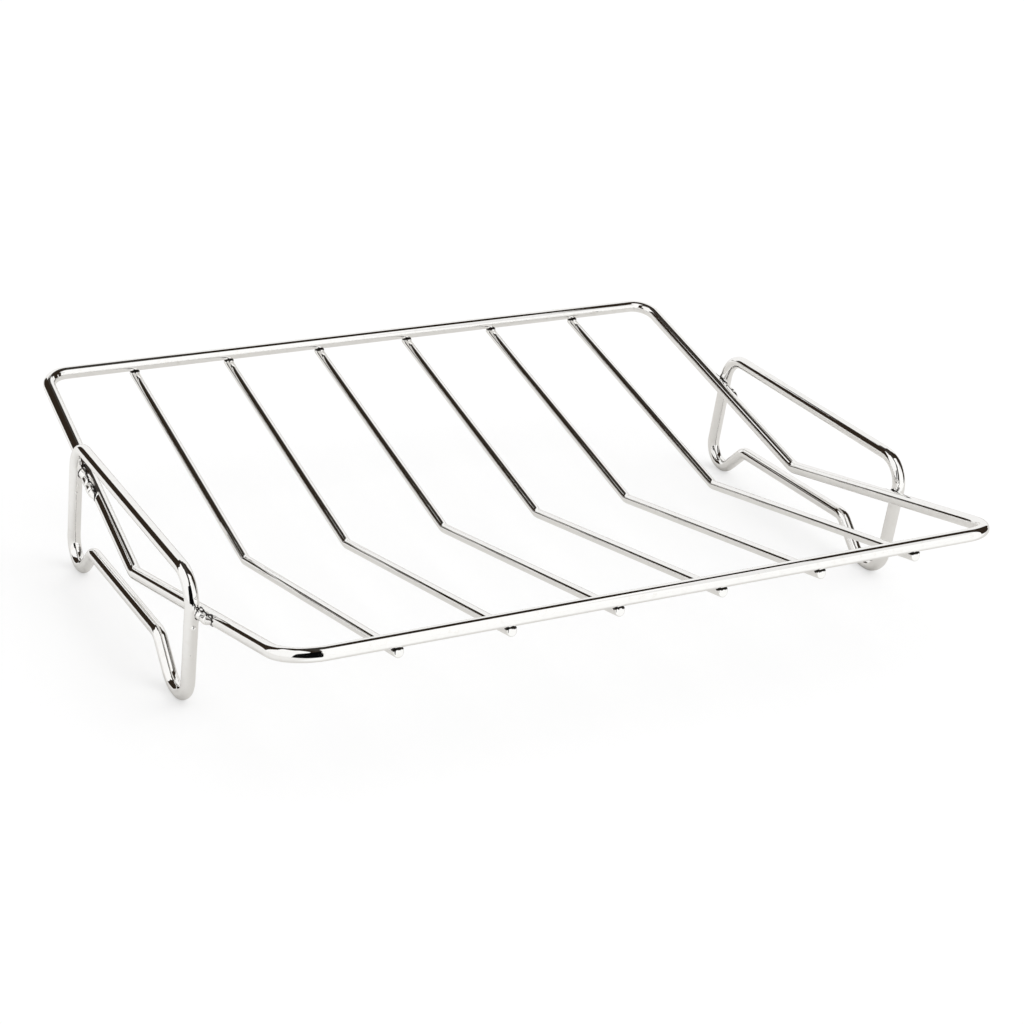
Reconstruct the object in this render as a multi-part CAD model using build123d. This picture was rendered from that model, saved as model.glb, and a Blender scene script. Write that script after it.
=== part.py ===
from build123d import *
import math
import os

# A roasting rack of bent and welded steel wire, in millimetres.
# The origin is on the surface it stands on, under the middle of the rack.
# +X runs along the two long rails, +Y to the rear rail and +Z up.

# Wire
frame_wire_dia = 6.0
cross_wire_dia = 4.4

# Frame: one closed loop of wire, folded to a shallow V between its two long rails
frame_width = 334.5
frame_depth = 304.8
rear_rail_height = 68.3
front_rail_height = 62.6
valley_y = 8.1
valley_height = 28.4
side_splay = 4.7
rear_corner_bend = 11.0
front_corner_bend = 17.0
valley_bend = 9.0

# Cross wires: each with one bend, welded to the underside of both rails, spaced evenly
# between a margin at each side
cross_wire_count = 6
cross_wire_margin = 45.2
cross_valley_y = 4.4
cross_valley_height = 27.8
cross_valley_bend = 7.0
cross_wire_overhang = 2.4
rail_weld_depth = 0.4

# Side loops: each is a handle above and two feet below, bent from one closed length of wire
handle_rear_y = 77.8
handle_rear_height = 63.3
handle_front_y = -73.4
handle_front_height = 61.6
rear_foot_outer_y = 87.4
rear_foot_inner_y = 72.0
front_foot_outer_y = -65.4
front_foot_inner_y = -47.6
low_bar_rear_y = 56.5
low_bar_rear_height = 17.1
low_bar_front_y = -31.9
low_bar_front_height = 18.7
handle_rear_bend = 15.0
handle_front_bend = 12.8
rear_foot_bend = 9.7
front_foot_leg_bend = 11.7
front_foot_bend = 13.4
low_bar_bend = 7.8
side_weld_depth = 0.6

# Weld beads, laid by hand on the outer face of the side wires, from each leg forward
bead_dia = 4.0
bead_seat = 2.6
bead_back = 6.0
bead_taper = 4.0
left_rear_bead_run = 22.0
left_front_bead_run = 16.0
right_rear_bead_run = 16.0
right_front_bead_run = 9.0

# Values worked out from the sizes above
frame_wire_radius = frame_wire_dia / 2
cross_wire_radius = cross_wire_dia / 2
rear_rail = (frame_depth / 2, rear_rail_height)
front_rail = (-frame_depth / 2, front_rail_height)
frame_valley = (valley_y, valley_height)
cross_valley = (cross_valley_y, cross_valley_height)
first_wire_x = cross_wire_margin - frame_width / 2
cross_wire_pitch = -2 * first_wire_x / (cross_wire_count - 1)


def bent_wire(corners, bends, diameter, closed):
    """Round wire swept along straight runs joined by bends."""
    path = FilletPolyline(*corners, radius=bends, close=closed)
    start = path @ 0
    section = Plane(origin=start, z_dir=path % 0) * Circle(diameter / 2)
    return sweep(section, path=Wire(path.edges()))


def side_wire_point(side, rail, y):
    """Point on the axis of a frame side wire, on the run from the valley to a rail."""
    share = (y - valley_y) / (rail[0] - valley_y)
    x = frame_width / 2 + side_splay * (1 - share)
    return Vector(side * x, y, valley_height + share * (rail[1] - valley_height))


def make_frame_loop():
    """The heavy wire frame: two rails, and two side wires bent to a V."""
    half = frame_width / 2
    valley_half = half + side_splay
    corners = [
        (-half, *rear_rail),
        (-valley_half, *frame_valley),
        (-half, *front_rail),
        (half, *front_rail),
        (valley_half, *frame_valley),
        (half, *rear_rail),
    ]
    bends = [rear_corner_bend, valley_bend, front_corner_bend]
    return bent_wire(corners, bends + bends[::-1], frame_wire_dia, True)


def end_past_rail(rail):
    """Where a cross wire ends: its axis runs from its valley to pass below the rail."""
    seat = frame_wire_radius + cross_wire_radius - rail_weld_depth
    run_y = rail[0] - cross_valley_y
    rise = rail[1] - cross_valley_height
    outward = math.copysign(1, run_y)
    slope = math.atan2(rise, abs(run_y)) - math.asin(seat / math.hypot(run_y, rise))
    reach = abs(run_y) + cross_wire_overhang
    return (cross_valley_y + outward * reach, cross_valley_height + reach * math.tan(slope))


def make_cross_wire(x, frame_loop):
    """One thin wire bent to a V, pressed a little way into both rails by its welds."""
    corners = [(x, *end_past_rail(rear_rail)), (x, *cross_valley), (x, *end_past_rail(front_rail))]
    return bent_wire(corners, [cross_valley_bend], cross_wire_dia, False) - frame_loop


def leg_weld(side, rail, foot_y, handle_y, handle_height):
    """Point on the side wire where a leg of the side loop crosses it."""
    lean = (handle_y - foot_y) / (handle_height - frame_wire_radius)
    point = side_wire_point(side, rail, handle_y)
    for _ in range(6):
        y = foot_y + lean * (point.Z - frame_wire_radius)
        point = side_wire_point(side, rail, y)
    return point


def weld_points(side):
    """The rear and the front weld of one side loop, on the axis of the side wire."""
    rear = leg_weld(side, rear_rail, rear_foot_outer_y, handle_rear_y, handle_rear_height)
    front = leg_weld(side, front_rail, front_foot_outer_y, handle_front_y, handle_front_height)
    return rear, front


def weld_bead(side, rail, weld, run):
    """Weld metal on the outer face of the side wire, from behind the leg forward, run out at both ends."""
    outward = Vector(side, 0, 0)
    start, end = (side_wire_point(side, rail, weld.Y + step) for step in (bead_back, -run))
    along = end - start
    radius = bead_dia / 2
    full_end = along.length - bead_taper
    outline = Polyline((0, 0), (bead_taper, radius), (full_end, radius), (along.length, 0), close=True)
    bead = revolve(make_face(outline), Axis.X)
    return Plane(origin=start + outward * bead_seat, x_dir=along, z_dir=outward) * bead


def make_side_loop(side, rear_run, front_run, frame_loop):
    """Handle, legs, feet and low bar of one side, with the weld beads that hold it."""
    rear_weld, front_weld = weld_points(side)
    side_wire_x = max(abs(rear_weld.X), abs(front_weld.X))
    x = side * (side_wire_x + frame_wire_dia - side_weld_depth)
    corners = [
        (x, handle_rear_y, handle_rear_height),
        (x, handle_front_y, handle_front_height),
        (x, front_foot_outer_y, frame_wire_radius),
        (x, front_foot_inner_y, frame_wire_radius),
        (x, low_bar_front_y, low_bar_front_height),
        (x, low_bar_rear_y, low_bar_rear_height),
        (x, rear_foot_inner_y, frame_wire_radius),
        (x, rear_foot_outer_y, frame_wire_radius),
    ]
    bends = [
        handle_rear_bend,
        handle_front_bend,
        front_foot_leg_bend,
        front_foot_bend,
        low_bar_bend,
        low_bar_bend,
        rear_foot_bend,
        rear_foot_bend,
    ]
    loop = bent_wire(corners, bends, frame_wire_dia, True)
    loop += weld_bead(side, rear_rail, rear_weld, rear_run)
    loop += weld_bead(side, front_rail, front_weld, front_run)
    return loop - frame_loop


frame_loop = make_frame_loop()
nodes = {"frame_loop": frame_loop}
for number in range(cross_wire_count):
    wire_x = first_wire_x + number * cross_wire_pitch
    nodes[f"cross_wire_{number + 1}"] = make_cross_wire(wire_x, frame_loop)
nodes["side_loop_left"] = make_side_loop(-1, left_rear_bead_run, left_front_bead_run, frame_loop)
nodes["side_loop_right"] = make_side_loop(1, right_rear_bead_run, right_front_bead_run, frame_loop)

os.makedirs("parts", exist_ok=True)
for name, solid in nodes.items():
    export_step(solid, f"parts/{name}.step")
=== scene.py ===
import math

import bpy
from mathutils import Matrix, Vector


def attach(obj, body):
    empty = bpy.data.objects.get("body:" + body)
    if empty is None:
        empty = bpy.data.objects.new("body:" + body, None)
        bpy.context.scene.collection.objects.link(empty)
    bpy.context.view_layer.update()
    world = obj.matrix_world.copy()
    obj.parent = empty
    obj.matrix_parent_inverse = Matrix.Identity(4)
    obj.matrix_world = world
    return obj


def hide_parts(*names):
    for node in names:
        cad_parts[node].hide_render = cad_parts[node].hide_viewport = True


# The looks of a plated steel roasting rack, in metres, in the same frame as its solids:
# +X along the two long rails, +Y to the rear rail, +Z up, the floor at zero.

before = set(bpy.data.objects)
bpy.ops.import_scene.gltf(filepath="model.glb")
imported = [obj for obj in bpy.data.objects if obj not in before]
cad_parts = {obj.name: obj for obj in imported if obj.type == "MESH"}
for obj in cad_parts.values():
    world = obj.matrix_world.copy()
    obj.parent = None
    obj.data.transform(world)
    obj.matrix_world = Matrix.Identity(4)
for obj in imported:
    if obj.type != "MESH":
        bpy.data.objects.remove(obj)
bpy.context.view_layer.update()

# Sizes shared with the part's source
heavy_wire = 0.0060
thin_wire = 0.0044
rack_width = 0.3345
rack_depth = 0.3048
rear_rail_height = 0.0683
front_rail_height = 0.0626
valley_y = 0.0081
valley_height = 0.0284
side_splay = 0.0047
rear_corner_bend = 0.0110
front_corner_bend = 0.0170
valley_bend = 0.0090
cross_wire_count = 6
cross_wire_margin = 0.0452
cross_valley_y = 0.0044
cross_valley_height = 0.0278
cross_valley_bend = 0.0070
cross_wire_overhang = 0.0024
rail_weld_depth = 0.0004

handle_rear = (0.0778, 0.0633)
handle_front = (-0.0734, 0.0616)
rear_foot_outer_y = 0.0874
rear_foot_inner_y = 0.0720
front_foot_outer_y = -0.0654
front_foot_inner_y = -0.0476
low_bar_rear = (0.0565, 0.0171)
low_bar_front = (-0.0319, 0.0187)
handle_rear_bend = 0.0150
handle_front_bend = 0.0128
rear_foot_bend = 0.0097
front_foot_leg_bend = 0.0117
front_foot_bend = 0.0134
low_bar_bend = 0.0078
side_weld_depth = 0.0006
bead_dia = 0.0040
bead_seat = 0.0026
bead_back = 0.0060
left_bead_runs = (0.0220, 0.0160)
right_bead_runs = (0.0160, 0.0090)

# Spatter on the left legs: the height, the turn round the leg from the front to the right, and the radius
rear_spatter = [(0.0421, 0.05, 0.00045), (0.0380, -0.14, 0.00060), (0.0445, 0.89, 0.00055)]
front_spatter = [(0.0403, 0.00, 0.00115), (0.0395, 0.36, 0.00050), (0.0270, -0.28, 0.00035)]

# Rounding on the edge of a cut end
cut_edge = 0.0009
edge_steps = 6

# Weld beads, laid drop after drop. The waist between two drops, what a drop's belly adds to it and the tip
# of the bead are shares of its diameter.
drop_length = 0.0056
drop_steps = 8
drop_waist = 0.80
drop_belly = 0.36
bead_tip = 0.16
bead_taper = 0.0055
bead_sway_out = 0.0003
bead_sway_up = 0.0005
bead_sway_turn = 2.1

# Where a wire is thinner than this share of its diameter, others don't swell toward it
thin_end = 0.6

# Values worked out from the sizes above
half_width = rack_width / 2
rear_rail = (rack_depth / 2, rear_rail_height)
front_rail = (-rack_depth / 2, front_rail_height)


# Nodes of a tree, written as expressions

class Flow:
    """What leaves one output of a node; sums and products of it add Math nodes to the same tree."""

    def __init__(self, socket):
        self.socket = socket

    def output(self, name):
        return Flow(self.socket.node.outputs[name])

    def math(self, operation, first, second=0.0):
        return add(self.socket.id_data, "ShaderNodeMath", {"operation": operation}, {0: first, 1: second})

    def __add__(self, other):
        return self.math("ADD", self, other)

    def __radd__(self, other):
        return self.math("ADD", other, self)

    def __sub__(self, other):
        return self.math("SUBTRACT", self, other)

    def __rsub__(self, other):
        return self.math("SUBTRACT", other, self)

    def __mul__(self, other):
        return self.math("MULTIPLY", self, other)

    def __rmul__(self, other):
        return self.math("MULTIPLY", other, self)

    def __truediv__(self, other):
        return self.math("DIVIDE", self, other)

    def __rtruediv__(self, other):
        return self.math("DIVIDE", other, self)

    def __mod__(self, other):
        return self.math("MODULO", self, other)

    def __abs__(self):
        return self.math("ABSOLUTE", self)

    def __gt__(self, other):
        return self.math("GREATER_THAN", self, other)

    def __lt__(self, other):
        return self.math("LESS_THAN", self, other)

    def at_least(self, other):
        return self.math("MAXIMUM", self, other)

    def at_most(self, other):
        return self.math("MINIMUM", self, other)


def add(tree, kind, settings=None, sockets=None, output=0):
    """Adds one node: its settings first, then what its sockets hold or are linked to."""
    node = tree.nodes.new(kind)
    for name, value in (settings or {}).items():
        setattr(node, name, value)
    for name, value in (sockets or {}).items():
        if isinstance(value, Flow):
            tree.links.new(value.socket, node.inputs[name])
        else:
            node.inputs[name].default_value = value
    return Flow(node.outputs[output]) if len(node.outputs) else node


def rise(value, low, high):
    """0 below low, 1 above high, and a smooth step between."""
    settings = {"interpolation_type": "SMOOTHSTEP"}
    sockets = {"Value": value, "From Min": low, "From Max": high}
    return add(value.socket.id_data, "ShaderNodeMapRange", settings, sockets)


def blend(share, first, second):
    """A colour between two, by a share from 0 to 1."""
    # The colours of this node are its sockets 6 and 7 and its output 2
    settings = {"data_type": "RGBA"}
    sockets = {"Factor": share, 6: first, 7: second}
    return add(share.socket.id_data, "ShaderNodeMix", settings, sockets, output=2)


def new_finish(name):
    """A finish and its empty tree."""
    finish = bpy.data.materials.new(name)
    finish.use_nodes = True
    finish.node_tree.nodes.clear()
    return finish, finish.node_tree


def noise(tree, place, seed, scale, detail, roughness):
    """A pattern of its own for each seed."""
    return add(tree, "ShaderNodeTexNoise", {"noise_dimensions": "4D"}, {
        "Vector": place, "W": seed, "Scale": scale, "Detail": detail, "Roughness": roughness,
    })


def placed(name, data):
    """An object of the scene."""
    thing = bpy.data.objects.new(name, data)
    bpy.context.scene.collection.objects.link(thing)
    return thing


# Camera, at the photograph's viewing angle

def place_camera():
    place = (-0.46065, -0.85371, 0.45915)
    azimuth = math.radians(-28.786)
    elevation = math.radians(23.647)
    roll = math.radians(3.337)
    sensor_width = 36.0
    focal_length = 80.303
    back = Vector((
        math.sin(azimuth) * math.cos(elevation),
        -math.cos(azimuth) * math.cos(elevation),
        math.sin(elevation),
    ))
    level = Vector((0, 0, 1)).cross(back).normalized()
    upright = back.cross(level)
    right = math.cos(roll) * level + math.sin(roll) * upright
    up = math.cos(roll) * upright - math.sin(roll) * level
    turn = Matrix((right, up, back)).transposed().to_4x4()
    lens = bpy.data.cameras.new("photo_camera")
    lens.sensor_width = sensor_width
    lens.lens = focal_length
    camera = placed("photo_camera", lens)
    camera.matrix_world = Matrix.Translation(place) @ turn
    bpy.context.scene.camera = camera


# Finishes

def plated_wire(name, tint, cloud_scale, seed, softness=0.04):
    """Bright plate over drawn steel wire: fine drawing lines, a slow unevenness, a little haze, and painted
    shade in the crevice of each weld, which also stands for the weld's dark scale."""
    haze_tint = (tint[0] * 0.94, tint[1] * 0.93, tint[2] * 0.91, 1.0)
    crevice_shade_tint = (0.020, 0.017, 0.014, 1.0)
    haze_range, crevice_shade_range = (0.50, 0.78), (0.58, 0.72)
    haze_roughness, line_roughness, crevice_shade_roughness = 0.06, 0.02, 0.30
    crevice_shade_raggedness = 0.9
    line_stretch = (1.0, 1.0, 0.02)
    line_height = 0.004
    bump_height = 0.00006
    finish, tree = new_finish(name)
    along = add(tree, "ShaderNodeAttribute", {"attribute_name": "straightened"}, output="Vector")
    place = add(tree, "ShaderNodeTexCoord", output="Object")
    stretched = add(tree, "ShaderNodeVectorMath", {"operation": "MULTIPLY"}, {0: along, 1: line_stretch})
    drawn = noise(tree, stretched, seed, scale=2600.0, detail=3.0, roughness=0.6)
    slow = noise(tree, place, seed + 3.0, scale=cloud_scale, detail=2.0, roughness=0.45)
    haze = noise(tree, place, seed + 7.0, scale=310.0, detail=5.0, roughness=0.62)
    flecks = noise(tree, place, seed + 11.0, scale=900.0, detail=2.0, roughness=0.5)
    hazy = rise(haze, *haze_range)
    colour = blend(hazy, (*tint, 1.0), haze_tint)
    # Painted shade in the crevice of each weld, partly weld scale; flecks make its edge ragged, and its
    # share, kept as scale, makes it rougher
    welded = add(tree, "ShaderNodeAttribute", {"attribute_name": "weld_scale"}, output="Fac")
    scale = rise(welded + (flecks - 0.5) * crevice_shade_raggedness, *crevice_shade_range)
    colour = blend(scale, colour, crevice_shade_tint)
    roughness = softness + hazy * haze_roughness + drawn * line_roughness + scale * crevice_shade_roughness
    height = drawn * line_height + slow
    bump = add(tree, "ShaderNodeBump", None, {"Strength": 1.0, "Distance": bump_height, "Height": height})
    shader = add(tree, "ShaderNodeBsdfPrincipled", None, {
        "Base Color": colour, "Metallic": 1.0, "Roughness": roughness, "Normal": bump,
    })
    add(tree, "ShaderNodeOutputMaterial", None, {"Surface": shader})
    return finish


# Wires: Geometry Nodes trees

def tree_inputs(tree, inputs):
    """Names a tree's inputs and its one output, and gives the flow of each input."""
    sides = tree.interface
    for name, kind, value in inputs:
        socket = sides.new_socket(name, in_out="INPUT", socket_type=kind)
        if value is not None:
            socket.default_value = value
    sides.new_socket("Geometry", in_out="OUTPUT", socket_type="NodeSocketGeometry")
    start = tree.nodes.new("NodeGroupInput")
    return {name: Flow(start.outputs[name]) for name, kind, value in inputs}


def stored(tree, geometry, name, kind, domain, value):
    """Keeps a value on the geometry under a name."""
    settings = {"data_type": kind, "domain": domain}
    return add(tree, "GeometryNodeStoreNamedAttribute", settings, {
        "Geometry": geometry, "Name": name, "Value": value,
    })


def named(tree, name, kind):
    """The value that the geometry keeps under a name."""
    return add(tree, "GeometryNodeInputNamedAttribute", {"data_type": kind}, {"Name": name})


def pushed(tree, geometry, outward, push):
    """Moves a skin outward."""
    offset = add(tree, "ShaderNodeVectorMath", {"operation": "SCALE"}, {0: outward, "Scale": push})
    return add(tree, "GeometryNodeSetPosition", None, {"Geometry": geometry, "Offset": offset})


def finished(tree, geometry, finish):
    """Gives a skin its finish and ends the tree with it."""
    painted = add(tree, "GeometryNodeSetMaterial", None, {"Geometry": geometry, "Material": finish})
    end = tree.nodes.new("NodeGroupOutput")
    tree.links.new(painted.socket, end.inputs["Geometry"])


def distance_to(tree, wires, radius, place):
    """From a place to the skin of other wires, or a metre where there are none."""
    lines = add(tree, "GeometryNodeObjectInfo", None, {"Object": wires}).output("Geometry")
    nearest = add(tree, "GeometryNodeProximity", {"target_element": "EDGES"}, {
        "Geometry": lines, "Sample Position": place,
    })
    found = nearest.output("Is Valid")
    return nearest.output("Distance") + (1.0 - found) - radius


def to_next_point(tree, curve, place):
    """From each point of a curve to the next, and from the last to the first."""
    points = add(tree, "GeometryNodeAttributeDomainSize", {"component": "CURVE"}, {"Geometry": curve})
    number = add(tree, "GeometryNodeInputIndex") + 1.0
    after = add(tree, "GeometryNodeFieldAtIndex", {"data_type": "FLOAT_VECTOR"}, {
        "Value": place, "Index": number % points,
    })
    return add(tree, "ShaderNodeVectorMath", {"operation": "DISTANCE"}, {0: place, 1: after}, output="Value")


def nearness(gap, fillet):
    """1 where a skin meets another, falling to 0 at the fillet's edge."""
    near = 1.0 - abs(gap) / fillet
    return near.at_least(0.0)


def wire_axis(tree, given, place, to_others):
    """The wire's axis with its bends, in steps that are finer on the parts beside a weld."""
    weld_reach = 0.006
    line = add(tree, "GeometryNodeMeshToCurve", None, {"Mesh": given["Corners"]})
    bent = add(tree, "GeometryNodeFilletCurve", {"mode": "POLY"}, {
        "Curve": line, "Count": given["Steps In A Bend"], "Radius": named(tree, "bend", "FLOAT"),
    })
    cuts = to_next_point(tree, bent, place) / given["Step On A Run"]
    divided = add(tree, "GeometryNodeSubdivideCurve", None, {"Curve": bent, "Cuts": cuts})
    to_heavy, to_thin = to_others(place)
    beside = to_heavy.at_most(to_thin) < weld_reach
    cuts = beside * to_next_point(tree, divided, place) / given["Step At A Weld"]
    return add(tree, "GeometryNodeSubdivideCurve", None, {"Curve": divided, "Cuts": cuts})


def wire_skin(tree, given, place, axis):
    """Round skin on an axis. It carries its own straightened place, which the drawing lines follow."""
    length = add(tree, "GeometryNodeSplineParameter", output="Length")
    measured = stored(tree, axis, "run", "FLOAT", "POINT", length)
    circle = add(tree, "GeometryNodeCurvePrimitiveCircle", {"mode": "RADIUS"}, {
        "Resolution": given["Sides"], "Radius": given["Wire Diameter"] * 0.5,
    })
    section = stored(tree, circle, "section", "FLOAT_VECTOR", "POINT", place)
    skin = add(tree, "GeometryNodeCurveToMesh", None, {
        "Curve": measured, "Profile Curve": section,
        "Scale": named(tree, "thickness", "FLOAT"), "Fill Caps": True,
    })
    across = add(tree, "ShaderNodeSeparateXYZ", None, {"Vector": named(tree, "section", "FLOAT_VECTOR")})
    straight = add(tree, "ShaderNodeCombineXYZ", None, {
        "X": across, "Y": across.output("Y"), "Z": named(tree, "run", "FLOAT"),
    })
    return stored(tree, skin, "straightened", "FLOAT_VECTOR", "POINT", straight)


def weld_swell(tree, given, place, outward, to_others):
    """How far the skin swells into its welds, and how near it is to their crevice."""
    rounds = 3
    fillet_height = 0.25
    heavy_fillet, thin_fillet = given["Fillet To Heavy Wires"], given["Fillet To Thin Wires"]
    swell = 0.0
    for _ in range(rounds):
        step = add(tree, "ShaderNodeVectorMath", {"operation": "SCALE"}, {0: outward, "Scale": swell})
        out = add(tree, "ShaderNodeVectorMath", {"operation": "ADD"}, {0: place, 1: step})
        to_heavy, to_thin = to_others(out)
        near_heavy = nearness(to_heavy - swell, heavy_fillet)
        near_thin = nearness(to_thin - swell, thin_fillet)
        heavy_fill = near_heavy * near_heavy * heavy_fillet * fillet_height
        thin_fill = near_thin * near_thin * thin_fillet * fillet_height
        swell = heavy_fill.at_least(thin_fill)
    return swell, near_heavy.at_least(near_thin)


def bent_wire_tree():
    """Corners become round wire with true bends, which swells a little into its welds."""
    tree = bpy.data.node_groups.new("bent_wire", "GeometryNodeTree")
    given = tree_inputs(tree, [
        ("Corners", "NodeSocketGeometry", None),
        ("Wire Diameter", "NodeSocketFloat", heavy_wire),
        ("Steps In A Bend", "NodeSocketInt", 14),
        ("Step On A Run", "NodeSocketFloat", 0.004),
        ("Step At A Weld", "NodeSocketFloat", 0.0003),
        ("Sides", "NodeSocketInt", 40),
        ("Heavy Wires Welded On", "NodeSocketObject", None),
        ("Thin Wires Welded On", "NodeSocketObject", None),
        ("Fillet To Heavy Wires", "NodeSocketFloat", 0.0022),
        ("Fillet To Thin Wires", "NodeSocketFloat", 0.0011),
        ("Lumps", "NodeSocketFloat", 0.0),
        ("Lump Size", "NodeSocketFloat", 0.004),
        ("Finish", "NodeSocketMaterial", None),
    ])
    place = add(tree, "GeometryNodeInputPosition")
    outward = add(tree, "GeometryNodeInputNormal")

    def to_others(point):
        heavy = distance_to(tree, given["Heavy Wires Welded On"], heavy_wire / 2, point)
        thin = distance_to(tree, given["Thin Wires Welded On"], thin_wire / 2, point)
        return heavy, thin

    skin = wire_skin(tree, given, place, wire_axis(tree, given, place, to_others))
    swell, crevice = weld_swell(tree, given, place, outward, to_others)
    # Nearness to the crevice, kept for the finish, which paints shade and weld scale there
    skin_with_crevice_shade = stored(tree, skin, "weld_scale", "FLOAT", "POINT", crevice)
    lumps = add(tree, "ShaderNodeTexNoise", None, {
        "Vector": place, "Scale": 1.0 / given["Lump Size"], "Detail": 1.0, "Roughness": 0.4,
    })
    moved = pushed(tree, skin_with_crevice_shade, outward, swell + (lumps - 0.5) * given["Lumps"])

    crisp_angle = 0.6
    smooth = add(tree, "GeometryNodeSetShadeSmooth", {"domain": "FACE"}, {"Geometry": moved})
    fold = add(tree, "GeometryNodeInputMeshEdgeAngle")
    crisp = add(tree, "GeometryNodeSetShadeSmooth", {"domain": "EDGE"}, {
        "Geometry": smooth, "Selection": fold > crisp_angle, "Shade Smooth": False,
    })
    real = add(tree, "GeometryNodeRealizeInstances", None, {"Geometry": crisp})
    finished(tree, real, given["Finish"])
    return tree


def spatter_tree():
    """Each place becomes a small round drop of weld metal, a little out of shape."""
    tree = bpy.data.node_groups.new("spatter", "GeometryNodeTree")
    given = tree_inputs(tree, [
        ("Places", "NodeSocketGeometry", None),
        ("Out Of Shape", "NodeSocketFloat", 0.00015),
        ("Finish", "NodeSocketMaterial", None),
    ])
    drop = add(tree, "GeometryNodeMeshIcoSphere", None, {"Radius": 1.0, "Subdivisions": 4})
    points = add(tree, "GeometryNodeMeshToPoints", None, {"Mesh": given["Places"]})
    drops = add(tree, "GeometryNodeInstanceOnPoints", None, {
        "Points": points, "Instance": drop, "Scale": named(tree, "thickness", "FLOAT"),
    })
    real = add(tree, "GeometryNodeRealizeInstances", None, {"Geometry": drops})
    uneven = add(tree, "ShaderNodeTexNoise", None, {
        "Vector": add(tree, "GeometryNodeInputPosition"), "Scale": 900.0, "Detail": 0.0,
    })
    outward = add(tree, "GeometryNodeInputNormal")
    moved = pushed(tree, real, outward, (uneven - 0.5) * given["Out Of Shape"])
    smooth = add(tree, "GeometryNodeSetShadeSmooth", {"domain": "FACE"}, {"Geometry": moved})
    finished(tree, smooth, given["Finish"])
    return tree


def corner_line(name, corners, closed):
    """A line of edges through a wire's corners, each given as place, bend and thickness of the wire."""
    line = bpy.data.meshes.new(name)
    edges = [(number, number + 1) for number in range(len(corners) - 1)]
    if closed:
        edges.append((len(corners) - 1, 0))
    line.from_pydata([place for place, bend, thickness in corners], edges, [])
    bends = line.attributes.new("bend", "FLOAT", "POINT")
    thicknesses = line.attributes.new("thickness", "FLOAT", "POINT")
    for number, (place, bend, thickness) in enumerate(corners):
        bends.data[number].value = bend
        thicknesses.data[number].value = thickness
    return line


def baked(name, source, tree, settings):
    """Runs a tree on a mesh and keeps the result as a plain mesh of its own."""
    maker = placed(name + "_line", source)
    modifier = maker.modifiers.new("maker", "NODES")
    modifier.node_group = tree
    sockets = {item.name: item.identifier for item in tree.interface.items_tree if item.in_out == "INPUT"}
    for title, value in settings.items():
        modifier[sockets[title]] = value
    depsgraph = bpy.context.evaluated_depsgraph_get()
    mesh = bpy.data.meshes.new_from_object(maker.evaluated_get(depsgraph))
    maker.modifiers.remove(modifier)
    bpy.data.objects.remove(maker)
    mesh.name = name
    return mesh


# Where the wires run

def wire_line(name, corners, closed):
    """An object that holds a wire's corners, for its own tree and for those of the wires welded to it."""
    return placed(name, corner_line(name, corners, closed))


def gathered(name, holders):
    """One object with the lines of several wires, without the ends where they run out."""
    places, edges = [], []
    for holder in holders:
        first = len(places)
        places += [vertex.co[:] for vertex in holder.data.vertices]
        thickness = holder.data.attributes["thickness"].data
        for edge in holder.data.edges:
            if min(thickness[end].value for end in edge.vertices) > thin_end:
                edges.append([first + end for end in edge.vertices])
    mesh = bpy.data.meshes.new(name)
    mesh.from_pydata(places, edges, [])
    return placed(name, mesh)


def side_wire_place(side, rail, y):
    """Point on the axis of a side wire, on the run from its valley to a rail."""
    share = (y - valley_y) / (rail[0] - valley_y)
    x = half_width + side_splay * (1 - share)
    return Vector((side * x, y, valley_height + share * (rail[1] - valley_height)))


def frame_loop_line():
    """Two rails and two side wires with their V bend."""
    corners = []
    for side in (-1, 1):
        wide = side * (half_width + side_splay)
        side_corners = [
            ((side * half_width, *rear_rail), rear_corner_bend, 1.0),
            ((wide, valley_y, valley_height), valley_bend, 1.0),
            ((side * half_width, *front_rail), front_corner_bend, 1.0),
        ]
        corners += side_corners if side < 0 else side_corners[::-1]
    return wire_line("frame_loop_line", corners, True)


def end_past_rail(rail):
    """Where a cross wire's axis ends, after it has passed below the rail."""
    seat = (heavy_wire + thin_wire) / 2 - rail_weld_depth
    run_y = rail[0] - cross_valley_y
    climb = rail[1] - cross_valley_height
    slope = math.atan2(climb, abs(run_y)) - math.asin(seat / math.hypot(run_y, climb))
    reach = abs(run_y) + cross_wire_overhang
    end_y = cross_valley_y + math.copysign(reach, run_y)
    return Vector((end_y, cross_valley_height + reach * math.tan(slope)))


def rounded_end(tip, inward):
    """Corners from a cut end's face inward, with its edge rounded."""
    corners = []
    for number in range(edge_steps + 1):
        turn = math.pi / 2 * number / edge_steps
        place = tip + inward * cut_edge * (1 - math.cos(turn))
        corners.append((place, 0.0, 1 - 2 * cut_edge * (1 - math.sin(turn)) / thin_wire))
    return corners


def cross_wire_line(number):
    """One bend, and ends cut square with their edges rounded."""
    first_x = cross_wire_margin - half_width
    x = first_x - 2 * first_x * number / (cross_wire_count - 1)
    valley = Vector((cross_valley_y, cross_valley_height))
    rear_tip, front_tip = end_past_rail(rear_rail), end_past_rail(front_rail)
    rear_end = rounded_end(rear_tip, (valley - rear_tip).normalized())
    front_end = rounded_end(front_tip, (valley - front_tip).normalized())
    flat_corners = [*rear_end, (valley, cross_valley_bend, 1.0), *front_end[::-1]]
    corners = [((x, *place), bend, thickness) for place, bend, thickness in flat_corners]
    return wire_line(f"cross_wire_{number + 1}_line", corners, False)


def leg_weld(side, rail, foot_y, handle):
    """Point on the side wire where a leg crosses it, found in a few rounds because both of them lean."""
    rounds = 6
    lean = (handle[0] - foot_y) / (handle[1] - heavy_wire / 2)
    place = side_wire_place(side, rail, handle[0])
    for _ in range(rounds):
        place = side_wire_place(side, rail, foot_y + lean * (place.z - heavy_wire / 2))
    return place


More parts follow.
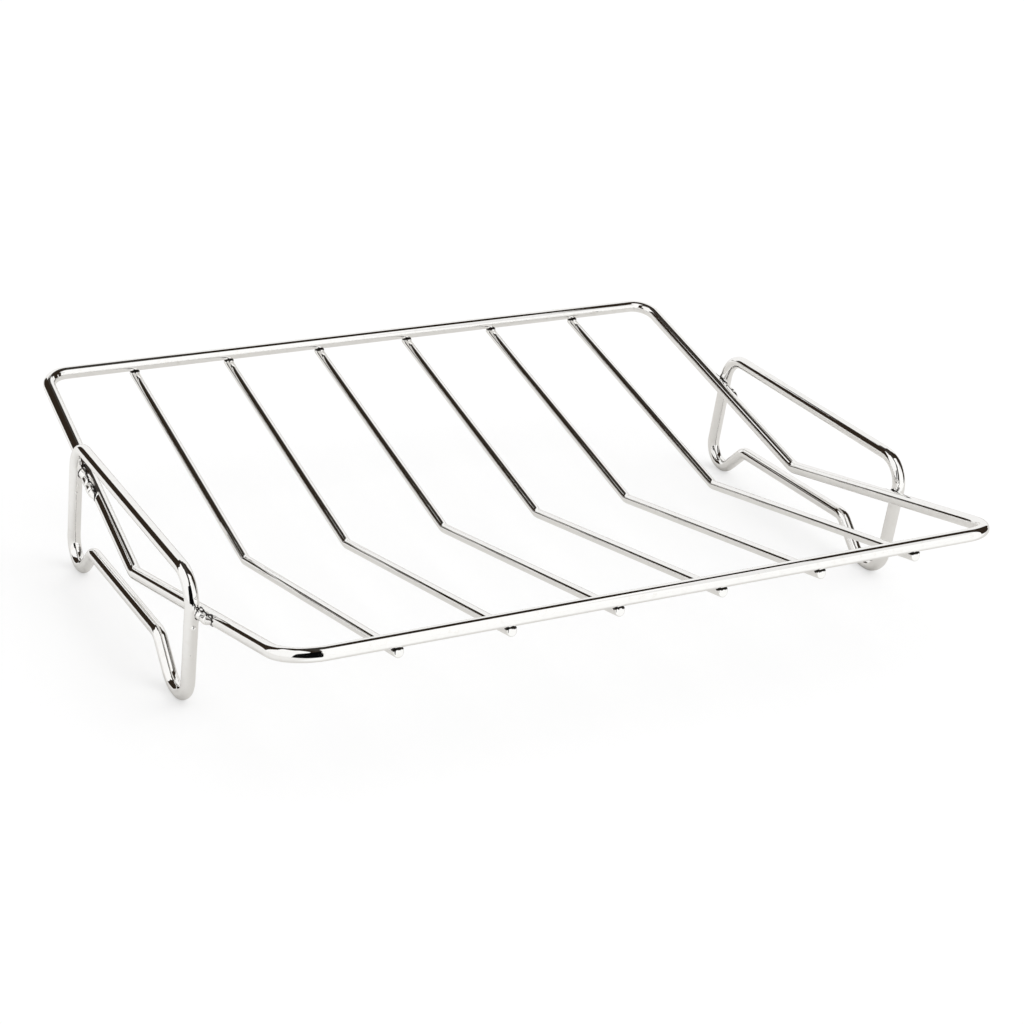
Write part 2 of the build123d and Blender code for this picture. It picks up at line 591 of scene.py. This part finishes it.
def leg_welds(side):
    """The rear and the front weld of a side loop."""
    rear = leg_weld(side, rear_rail, rear_foot_outer_y, handle_rear)
    front = leg_weld(side, front_rail, front_foot_outer_y, handle_front)
    return rear, front


def side_loop_x(side):
    """Where a side loop stands, pressed a little way into the side wire."""
    side_wire_x = max(abs(weld.x) for weld in leg_welds(side))
    return side * (side_wire_x + heavy_wire - side_weld_depth)


def side_loop_line(side, name):
    """A handle above, two legs and feet, and a low bar."""
    x = side_loop_x(side)
    floor_height = heavy_wire / 2
    corners = [
        ((x, *handle_rear), handle_rear_bend, 1.0),
        ((x, *handle_front), handle_front_bend, 1.0),
        ((x, front_foot_outer_y, floor_height), front_foot_leg_bend, 1.0),
        ((x, front_foot_inner_y, floor_height), front_foot_bend, 1.0),
        ((x, *low_bar_front), low_bar_bend, 1.0),
        ((x, *low_bar_rear), low_bar_bend, 1.0),
        ((x, rear_foot_inner_y, floor_height), rear_foot_bend, 1.0),
        ((x, rear_foot_outer_y, floor_height), rear_foot_bend, 1.0),
    ]
    return wire_line(name, corners, True)


def weld_bead_line(name, side, rail, weld, run):
    """Weld metal along the outer face of a side wire, from behind the leg forward, laid drop after drop."""
    start = side_wire_place(side, rail, weld.y + bead_back)
    end = side_wire_place(side, rail, weld.y - run)
    length = (end - start).length
    drops = round(length / drop_length)
    corners = []
    for number in range(drops * drop_steps + 1):
        share = number / (drops * drop_steps)
        from_middle = 2 * (number % drop_steps) / drop_steps - 1
        belly = drop_waist + drop_belly * math.sqrt(1 - from_middle * from_middle)
        from_end = min(share, 1 - share) * length
        run_out = min(1.0, bead_tip + (1 - bead_tip) * from_end / bead_taper)
        sway = math.sin(share * drops * bead_sway_turn + side)
        aside = Vector((side * (bead_seat + bead_sway_out * sway), 0, bead_sway_up * sway))
        corners.append((tuple(start.lerp(end, share) + aside), 0.0, belly * run_out))
    return wire_line(name, corners, False)


def spatter_line(name, drops, handle, foot_y):
    """Places on the skin of a left leg, each with the radius of its drop."""
    wire_radius = heavy_wire / 2
    corners = []
    for height, turn, radius in drops:
        share = (height - wire_radius) / (handle[1] - wire_radius)
        x = side_loop_x(-1) + wire_radius * math.sin(turn)
        y = foot_y + share * (handle[0] - foot_y) - wire_radius * math.cos(turn)
        corners.append(((x, y, height), 0.0, radius))
    return wire_line(name, corners, False)


def dressed(name, line, nodes, tree, settings):
    """The finished piece on its own line, which stands for its nodes of the frame."""
    piece = placed(name, baked(name, line.data, tree, settings))
    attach(piece, "root")
    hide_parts(*nodes)


def make_rack():
    """All wires, weld beads and spatter. The lines that they were made on are removed at the end."""
    heavy_finish = plated_wire("plated_heavy_wire", (0.94, 0.935, 0.925), cloud_scale=60.0, seed=1.0)
    thin_finish = plated_wire("plated_cross_wire", (0.93, 0.925, 0.915), cloud_scale=75.0, seed=5.0)
    weld_finish = plated_wire(
        "plated_weld_metal", (0.95, 0.945, 0.935), cloud_scale=240.0, seed=9.0, softness=0.16,
    )
    wire_tree = bent_wire_tree()
    drop_tree = spatter_tree()
    frame_line = frame_loop_line()
    cross_lines = [cross_wire_line(number) for number in range(cross_wire_count)]
    loop_lines, bead_lines = [], []
    for side, word, runs in ((-1, "left", left_bead_runs), (1, "right", right_bead_runs)):
        loop_lines.append(side_loop_line(side, f"side_loop_{word}_line"))
        rear, front = leg_welds(side)
        bead_lines.append([
            weld_bead_line(f"{word}_rear_bead_line", side, rear_rail, rear, runs[0]),
            weld_bead_line(f"{word}_front_bead_line", side, front_rail, front, runs[1]),
        ])
    on_frame_heavy = gathered("heavy_wires_on_frame", loop_lines)
    on_frame_thin = gathered("thin_wires_on_frame", cross_lines + bead_lines[0] + bead_lines[1])

    heavy = {"Wire Diameter": heavy_wire, "Sides": 56, "Steps In A Bend": 16, "Finish": heavy_finish}
    thin = {"Wire Diameter": thin_wire, "Sides": 48, "Steps In A Bend": 8, "Finish": thin_finish}
    weld = {
        "Wire Diameter": bead_dia, "Sides": 32, "Step On A Run": 0.0003, "Finish": weld_finish,
        "Fillet To Heavy Wires": 0.0007, "Lumps": 0.0004, "Lump Size": 0.0045,
    }
    dressed("bent_frame_loop", frame_line, ["frame_loop"], wire_tree, {
        **heavy, "Heavy Wires Welded On": on_frame_heavy, "Thin Wires Welded On": on_frame_thin,
    })
    for number, line in enumerate(cross_lines):
        node = f"cross_wire_{number + 1}"
        dressed("bent_" + node, line, [node], wire_tree, {
            **thin, "Heavy Wires Welded On": frame_line,
        })
    helpers = [frame_line, on_frame_heavy, on_frame_thin, *cross_lines]
    for loop_line, beads, word in zip(loop_lines, bead_lines, ("left", "right")):
        node = f"side_loop_{word}"
        loop_beads = gathered(f"beads_on_{word}_loop", beads)
        dressed("bent_" + node, loop_line, [node], wire_tree, {
            **heavy, "Heavy Wires Welded On": frame_line, "Thin Wires Welded On": loop_beads,
        })
        both = gathered(f"wires_at_{word}_beads", [frame_line, loop_line])
        for bead, end in zip(beads, ("rear", "front")):
            dressed(f"{word}_{end}_weld_bead", bead, [node], wire_tree, {
                **weld, "Heavy Wires Welded On": both,
            })
        helpers += [loop_line, *beads, loop_beads, both]
    for name, drops, handle, foot_y in (
        ("left_rear_spatter", rear_spatter, handle_rear, rear_foot_outer_y),
        ("left_front_spatter", front_spatter, handle_front, front_foot_outer_y),
    ):
        line = spatter_line(name + "_line", drops, handle, foot_y)
        dressed(name, line, ["side_loop_left"], drop_tree, {"Finish": weld_finish})
        helpers.append(line)
    for helper in helpers:
        bpy.data.objects.remove(helper)


# Studio

def flat_board(name, corners, finish):
    """One flat face through four corners."""
    mesh = bpy.data.meshes.new(name)
    mesh.from_pydata(corners, [], [(0, 1, 2, 3)])
    mesh.materials.append(finish)
    return placed(name, mesh)


def stage_card(name, corners, colour, strength=1.0):
    """A flat card beside the rack that only shows in its plate."""
    finish, tree = new_finish(name)
    light = add(tree, "ShaderNodeEmission", None, {"Color": (*colour, 1.0), "Strength": strength})
    add(tree, "ShaderNodeOutputMaterial", None, {"Surface": light})
    card = flat_board(name, corners, finish)
    card.visible_camera = False
    card.visible_diffuse = False
    card.visible_shadow = False


def upright_x(x, y0, y1, z0, z1):
    """Corners of an upright card that faces along X."""
    return [(x, y0, z0), (x, y1, z0), (x, y1, z1), (x, y0, z1)]


def upright_y(y, x0, x1, z0, z1):
    """Corners of an upright card that faces along Y."""
    return [(x0, y, z0), (x1, y, z0), (x1, y, z1), (x0, y, z1)]


def level_z(z, x0, x1, y0, y1):
    """Corners of a level card."""
    return [(x0, y0, z), (x1, y0, z), (x1, y1, z), (x0, y1, z)]


def make_floor():
    """White paper. In the plate it shows a painted pool of light before the rack, a weaker one at its left,
    and painted shade elsewhere.
    """
    white = (1.0, 1.0, 1.0, 1.0)
    painted_lit_paper = (1.0, 1.0, 0.99, 1.0)
    painted_shaded_paper = (0.72, 0.705, 0.68, 1.0)
    # Where the painted light on the paper before the rack grows in, seen from the middle, and where it
    # starts at the left
    front_light_edge, front_light_start = (0.14, 0.20), (-0.22, -0.18)
    # Where the painted light on the paper at the left grows in, and how strong it is
    left_light_edge, left_light_share = (0.15, 0.23), 0.5
    glow_share = 0.5
    finish, tree = new_finish("pale_floor")
    seen = add(tree, "ShaderNodeLightPath").output("Is Camera Ray")
    place = add(tree, "ShaderNodeTexCoord", output="Object")
    across = add(tree, "ShaderNodeSeparateXYZ", None, {"Vector": place})
    deep = across.output("Y")
    # Painted light before the rack and at its left, and painted shade elsewhere, shown only to rays from the
    # plate
    before = rise(0.0 - deep, *front_light_edge) * rise(across, *front_light_start)
    beside = rise(0.0 - across, *left_light_edge) * left_light_share
    painted_light_in_plate = blend(before.at_least(beside), painted_shaded_paper, painted_lit_paper)
    board = add(tree, "ShaderNodeBsdfDiffuse", None, {"Color": blend(seen, painted_light_in_plate, white)})
    glow = add(tree, "ShaderNodeEmission", None, {"Color": white, "Strength": 1.0})
    shown = add(tree, "ShaderNodeMixShader", None, {0: seen * glow_share, 1: board, 2: glow})
    add(tree, "ShaderNodeOutputMaterial", None, {"Surface": shown})
    half_size = 8.0
    floor = flat_board("floor", level_z(0.0, -half_size, half_size, -half_size, half_size), finish)


def make_world():
    """A white surround, and a softer light from it on the rack."""
    light_on_rack = 0.72
    world = bpy.data.worlds.new("studio")
    world.use_nodes = True
    bpy.context.scene.world = world
    tree = world.node_tree
    tree.nodes.clear()
    path = add(tree, "ShaderNodeLightPath")
    shown = path.output("Is Camera Ray") + path.output("Is Glossy Ray") + path.output("Is Transmission Ray")
    strength = light_on_rack + shown.at_most(1.0) * (1.0 - light_on_rack)
    light = add(tree, "ShaderNodeBackground", None, {"Color": (1.0, 1.0, 1.0, 1.0), "Strength": strength})
    add(tree, "ShaderNodeOutputWorld", None, {"Surface": light})


def make_lamp(name, place, strength, spread):
    """A broad soft lamp aimed at the rack, which doesn't show in its plate."""
    lamp = bpy.data.lights.new(name, "SUN")
    lamp.energy = strength
    lamp.angle = math.radians(spread)
    holder = placed(name, lamp)
    turn = (-Vector(place)).to_track_quat("-Z", "Y").to_matrix().to_4x4()
    holder.matrix_world = Matrix.Translation(place) @ turn
    holder.visible_glossy = False


def make_studio():
    """Pale floor, soft light from above and the right, white cards at all sides and above, dark flags
    between them, a black stand below the camera and a dark room around, all of which show in the plate."""
    bpy.context.scene.view_settings.view_transform = "Standard"
    make_floor()
    make_world()
    make_lamp("overhead_lamp", (0.5, -0.3, 1.6), strength=0.85, spread=60)
    make_lamp("right_lamp", (1.4, -0.6, 1.0), strength=0.45, spread=50)
    white = (1.0, 0.995, 0.985)
    hood = (0.045, 0.040, 0.035)
    dark = (0.028, 0.020, 0.014)
    black = (0.003, 0.003, 0.003)
    stage_card("panel_left", upright_x(-0.56, -0.797, 0.29, 0.0, 1.70), white, 1.02)
    stage_card("panel_behind_left", upright_y(1.02, -0.33, 0.0, 0.0, 0.88), white, 0.95)
    stage_card("panel_behind", upright_y(1.02, 0.0, 2.40, 0.0, 2.05), white, 0.95)
    stage_card("panel_right_low", upright_x(0.79, -3.0, 0.0, 0.0, 0.37), white, 1.07)
    stage_card("panel_right_high", upright_x(0.554, -3.0, -0.300, 0.445, 0.978), white, 0.90)
    stage_card("flag_right", upright_x(0.55, -0.300, -0.020, 0.0, 0.80), dark)
    stage_card("panel_front", upright_y(-0.90, -0.15, 3.0, 0.0, 1.08), white, 1.07)
    stage_card("camera_stand", upright_y(-0.30, -0.45, -0.14, 0.0, 0.31), black)
    stage_card("hood_above", level_z(1.11, -0.235, 0.34, -0.56, 1.50), hood)
    stage_card("flag_above", level_z(1.018, 0.23, 0.64, -0.060, 0.760), dark)
    stage_card("panel_above_front", level_z(1.08, -0.03, 3.0, -3.0, -0.18), white, 1.07)
    stage_card("panel_above_left", level_z(1.1, -3.0, -0.51, -0.6, 0.8), white, 1.07)
    room = 4.0
    stage_card("room_left", upright_x(-room, -room, room, 0.0, room), dark)
    stage_card("room_right", upright_x(room, -room, room, 0.0, room), dark)
    stage_card("room_rear", upright_y(room, -room, room, 0.0, room), dark)
    stage_card("room_front", upright_y(-room, -room, room, 0.0, room), dark)
    stage_card("room_above", level_z(room, -room, room, -room, room), dark)


place_camera()
make_rack()
make_studio()
